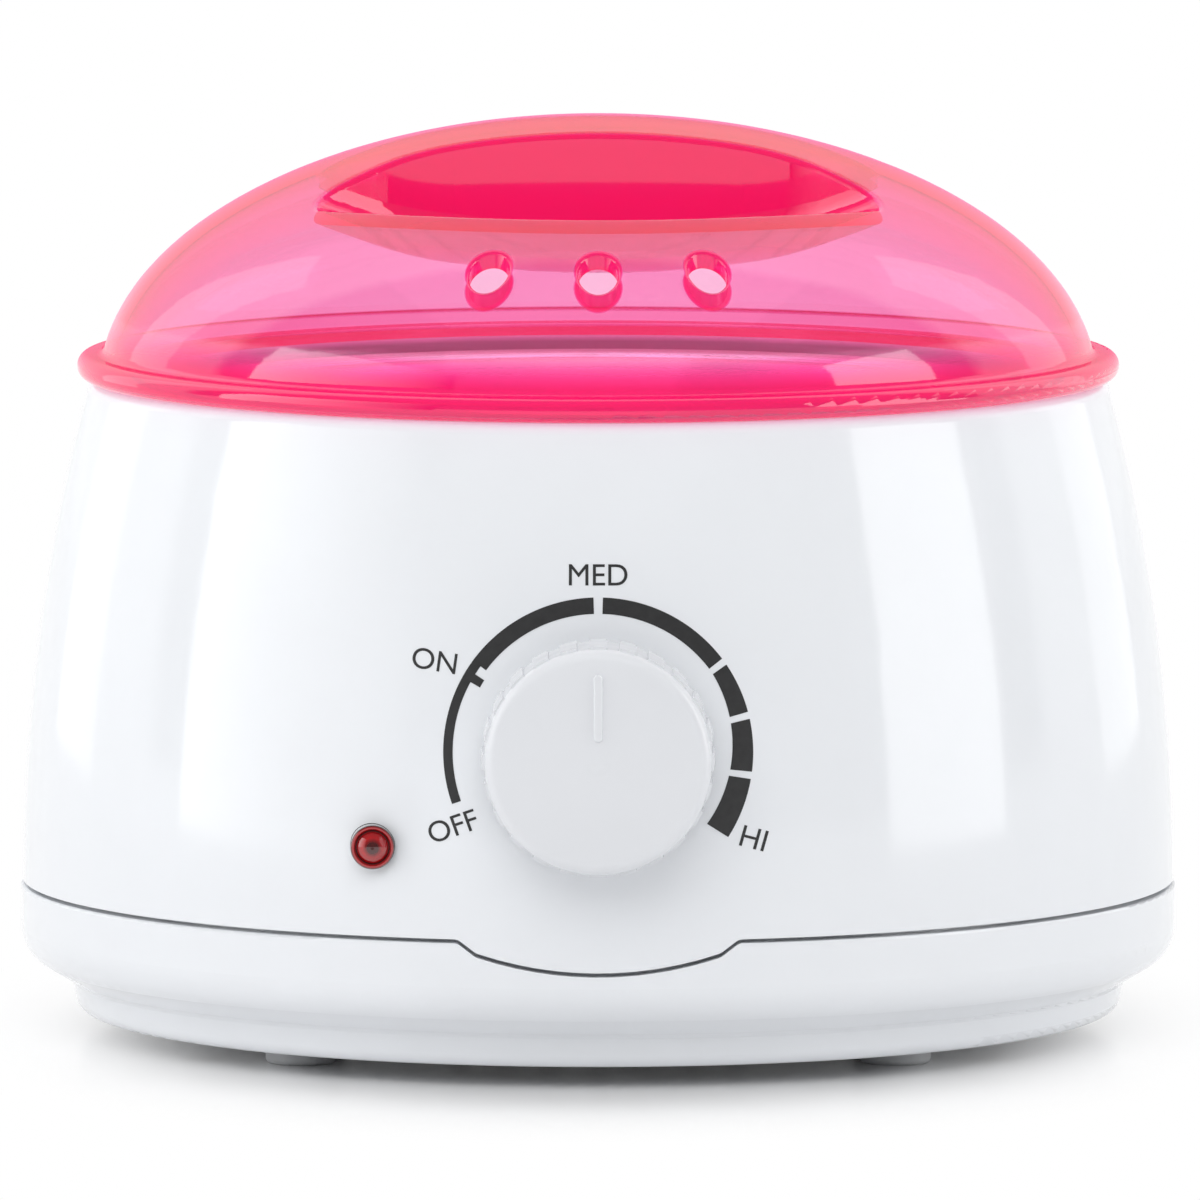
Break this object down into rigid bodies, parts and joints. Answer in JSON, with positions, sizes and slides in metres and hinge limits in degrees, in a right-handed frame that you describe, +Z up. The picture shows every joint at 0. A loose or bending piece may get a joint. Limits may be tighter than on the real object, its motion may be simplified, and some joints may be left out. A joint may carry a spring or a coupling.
{
  "type": "wax heater",
  "caption": "Round table-top wax heater: barrel-shaped body with a dial and an indicator lamp, a lift-out pot with a bail, and a domed translucent lid with hand pockets.",
  "frame": {"origin": "on the standing surface, below the pot's axis", "axes": "+Z up along the pot's axis; the dial and the lamp face -Y; +X is to the right seen from the front"},
  "size_m": [0.1754, 0.1916, 0.139],
  "materials": {
    "white_plastic": "gloss moulded",
    "knob_plastic": "satin moulded",
    "lid_plastic": "translucent gloss",
    "pot_aluminium": "polished",
    "bowl_aluminium": "spun",
    "steel": "plated",
    "brass": "stamped",
    "copper": "drawn",
    "switch_plastic": "moulded",
    "fuse_body": "plated",
    "gasket_rubber": "silicone",
    "foot_rubber": "matt",
    "bush_rubber": "matt",
    "red_lens": "translucent gloss",
    "lamp_glass": "clear",
    "live_insulation": "matt",
    "neutral_insulation": "matt"
  },
  "bodies": {
    "housing": {"upper_housing": "white_plastic", "base_cover": "white_plastic", "heating_bowl": "bowl_aluminium", "bowl_brackets": "steel", "bowl_screws": "steel", "base_screws": "steel", "heater_band": "steel", "band_screw": "steel", "band_nut": "steel", "heat_shield": "steel", "shield_stud": "steel", "shield_spacer": "steel", "shield_nut": "steel", "thermostat_nut": "steel", "lens_retainer": "steel", "terminal_screws": "steel", "block_screws": "steel", "bulb_straps": "steel", "fuse_clip": "steel", "heater_tabs": "brass", "thermostat_tabs": "brass", "sensor_bulb": "copper", "capillary_tube": "copper", "thermostat_body": "switch_plastic", "terminal_block": "switch_plastic", "thermal_fuse": "fuse_body", "bowl_gasket": "gasket_rubber", "foot_front_left": "foot_rubber", "foot_front_right": "foot_rubber", "foot_rear_left": "foot_rubber", "foot_rear_right": "foot_rubber", "cord_bush": "bush_rubber", "indicator_lens": "red_lens", "neon_lamp": "lamp_glass", "live_lead": "live_insulation", "heater_lead": "live_insulation", "neutral_lead": "neutral_insulation", "fuse_lead": "neutral_insulation"},
    "pot": {"wax_pot": "pot_aluminium", "bail_saddle_left": "steel", "bail_saddle_right": "steel", "saddle_rivets": "steel"},
    "bail": {"pot_bail": "steel"},
    "lid": {"lid": "lid_plastic"},
    "dial": {"control_knob": "knob_plastic", "thermostat_shaft": "steel", "shaft_clip": "steel"}
  },
  "joints": [
    {"name": "pot_lift", "type": "slide", "parent": "housing", "child": "pot", "axis": [0, 0, 1], "range_m": [0, 0.09]},
    {"name": "lid_lift", "type": "slide", "parent": "pot", "child": "lid", "axis": [0, 0, 1], "range_m": [0, 0.12]},
    {"name": "bail_swing", "type": "hinge", "parent": "pot", "child": "bail", "pos_m": [0, 0, 0.0992], "axis": [-1, 0, 0], "range_deg": [0, 90]},
    {"name": "dial_turn", "type": "hinge", "parent": "housing", "child": "dial", "pos_m": [0, -0.09, 0.051], "axis": [0, 1, 0], "range_deg": [-110, 122]}
  ],
  "couplings": [
    {"joint": "bail_swing", "follows": "lid_lift", "rad_per_m": 13.075}
  ]
}
